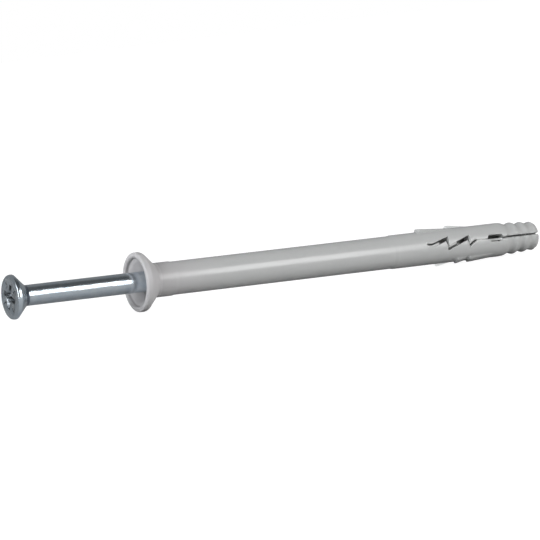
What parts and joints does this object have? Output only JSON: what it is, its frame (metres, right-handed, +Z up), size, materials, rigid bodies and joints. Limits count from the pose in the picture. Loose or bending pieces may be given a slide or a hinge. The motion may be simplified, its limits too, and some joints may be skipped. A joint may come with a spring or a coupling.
{
  "type": "hammer fixing plug",
  "caption": "Long split plastic sleeve with a countersunk collar, zigzag slit, wings and ribbed tip, holding a part-driven nail screw with a cross recess.",
  "frame": {"origin": "centre of the collar's front face", "axes": "+X along the sleeve from the collar to the tip, +Z up, -Y the side with the slit that the picture shows"},
  "size_m": [0.103, 0.0104, 0.0104],
  "materials": {
    "grey_plastic": "satin grey nylon",
    "plated_steel": "bright bluish zinc plating"
  },
  "bodies": {
    "sleeve": {"sleeve": "grey_plastic"},
    "nail": {"nail_screw": "plated_steel"}
  },
  "joints": [
    {"name": "nail_drive", "type": "slide", "parent": "sleeve", "child": "nail", "axis": [1, 0, 0], "range_m": [0, 0.0237], "deforming": ["sleeve"]}
  ]
}
